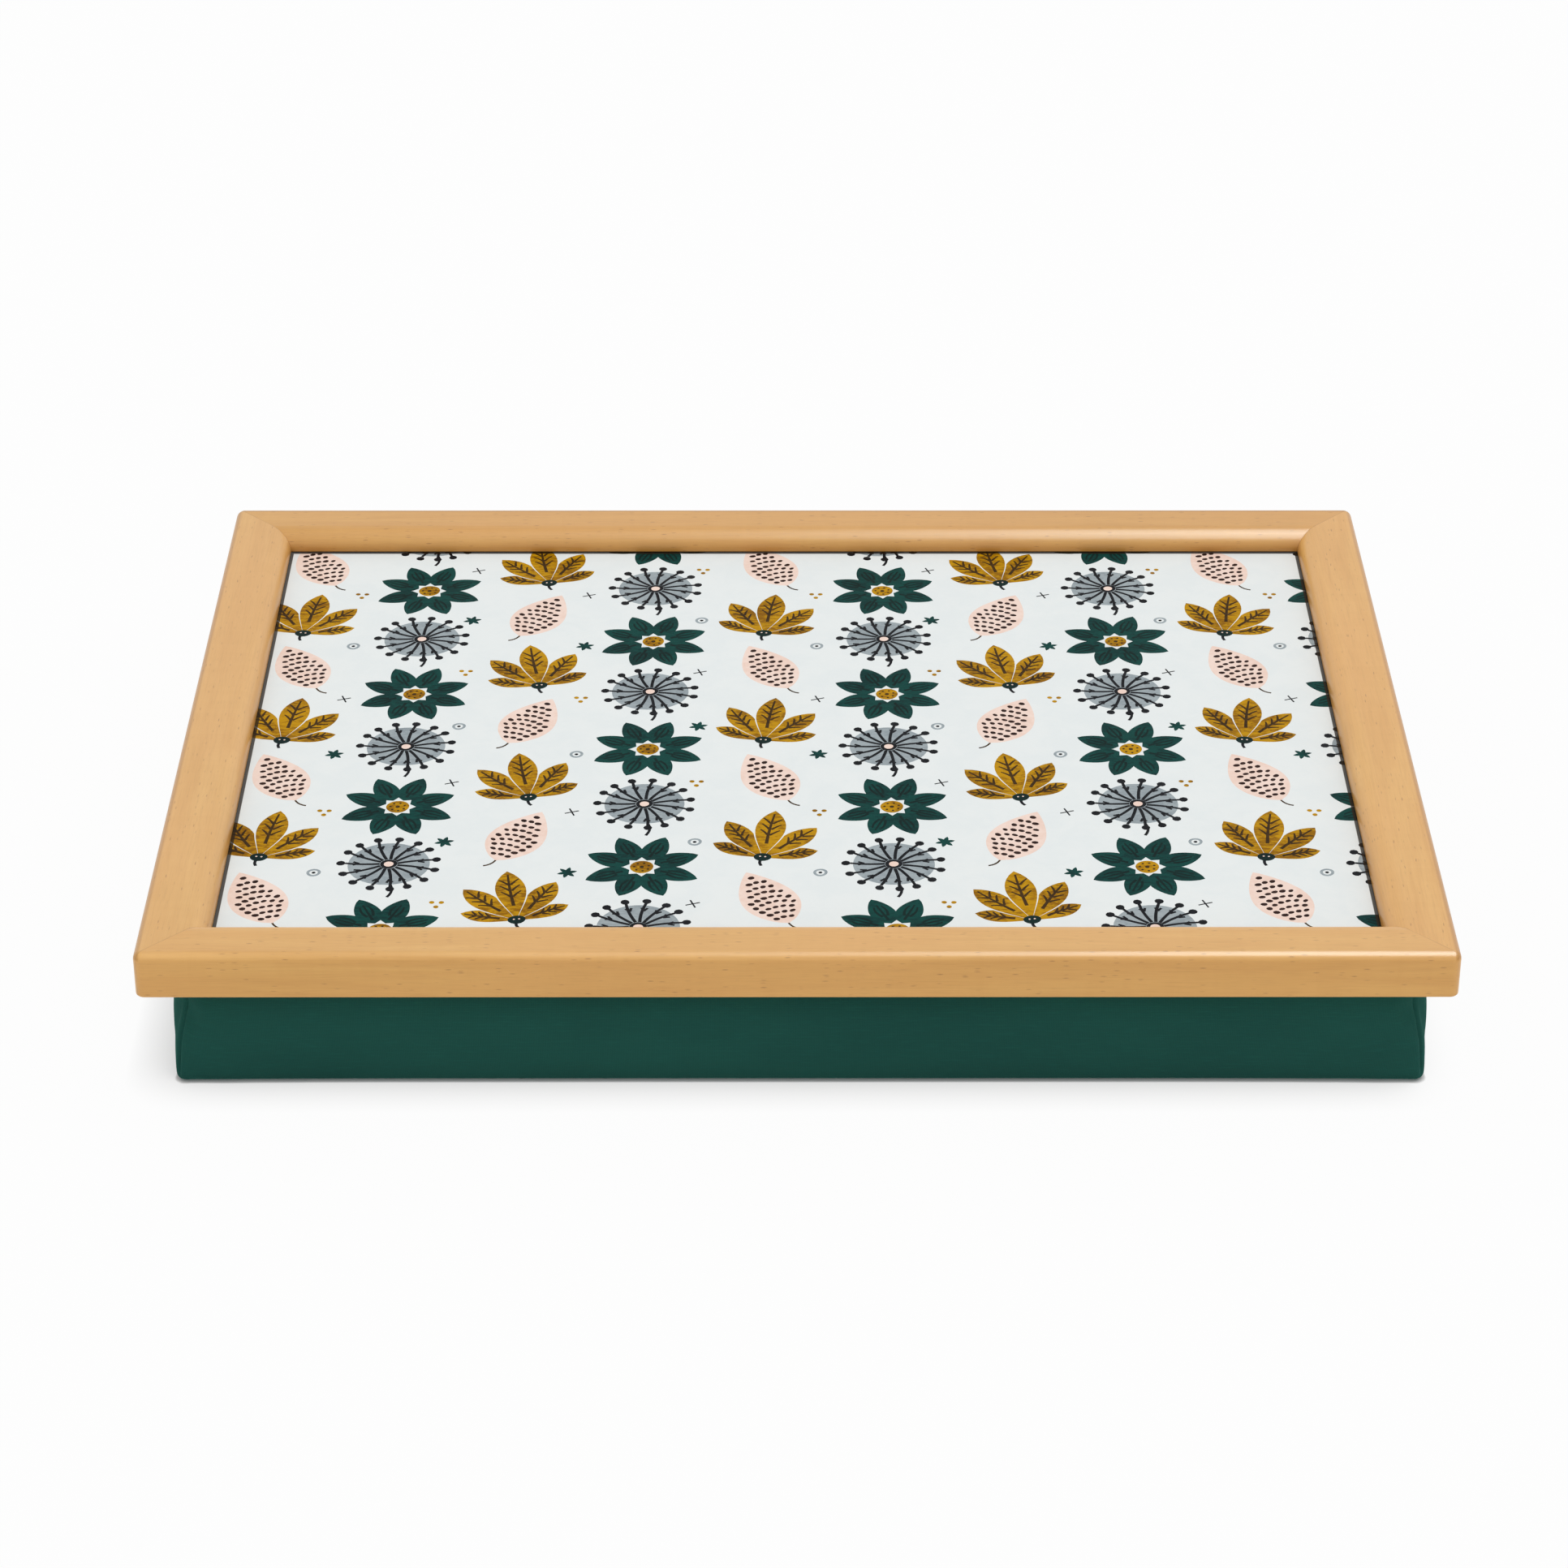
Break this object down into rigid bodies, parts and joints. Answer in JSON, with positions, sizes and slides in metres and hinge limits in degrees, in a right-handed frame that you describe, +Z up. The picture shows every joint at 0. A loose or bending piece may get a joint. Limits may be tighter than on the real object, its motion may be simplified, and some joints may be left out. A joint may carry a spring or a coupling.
{
  "type": "lap tray",
  "caption": "Rectangular lap tray: mitred wooden frame round a recessed printed board, on a soft bead-filled fabric cushion that comes off below.",
  "frame": {"origin": "middle of the cushion's underside, where the tray stands", "axes": "+X along the long side to the right, +Y to the back, +Z up out of the printed board; the front long side is at -Y"},
  "size_m": [0.44, 0.33, 0.0568],
  "materials": {
    "beech": "satin",
    "steel": "satin",
    "printed_laminate": "satin",
    "fibreboard": "matte",
    "backing_paper": "matte",
    "hardboard": "matte",
    "hook_tape": "matte",
    "loop_tape": "matte",
    "cushion_fabric": "matte",
    "beads": "matte"
  },
  "bodies": {
    "cushion": {"cover_shell": "cushion_fabric", "cover_top": "cushion_fabric", "bead_fill": "beads", "loop_strips": "loop_tape"},
    "tray": {"front_rail": "beech", "back_rail": "beech", "left_rail": "beech", "right_rail": "beech", "corner_nails": "steel", "print_sheet": "printed_laminate", "tray_board": "fibreboard", "balance_sheet": "backing_paper", "base_panel": "hardboard", "panel_pins": "steel", "hook_strips": "hook_tape"}
  },
  "joints": [
    {"name": "tray_lift", "type": "slide", "parent": "cushion", "child": "tray", "axis": [0, 0, 1], "range_m": [0, 0.06]}
  ]
}
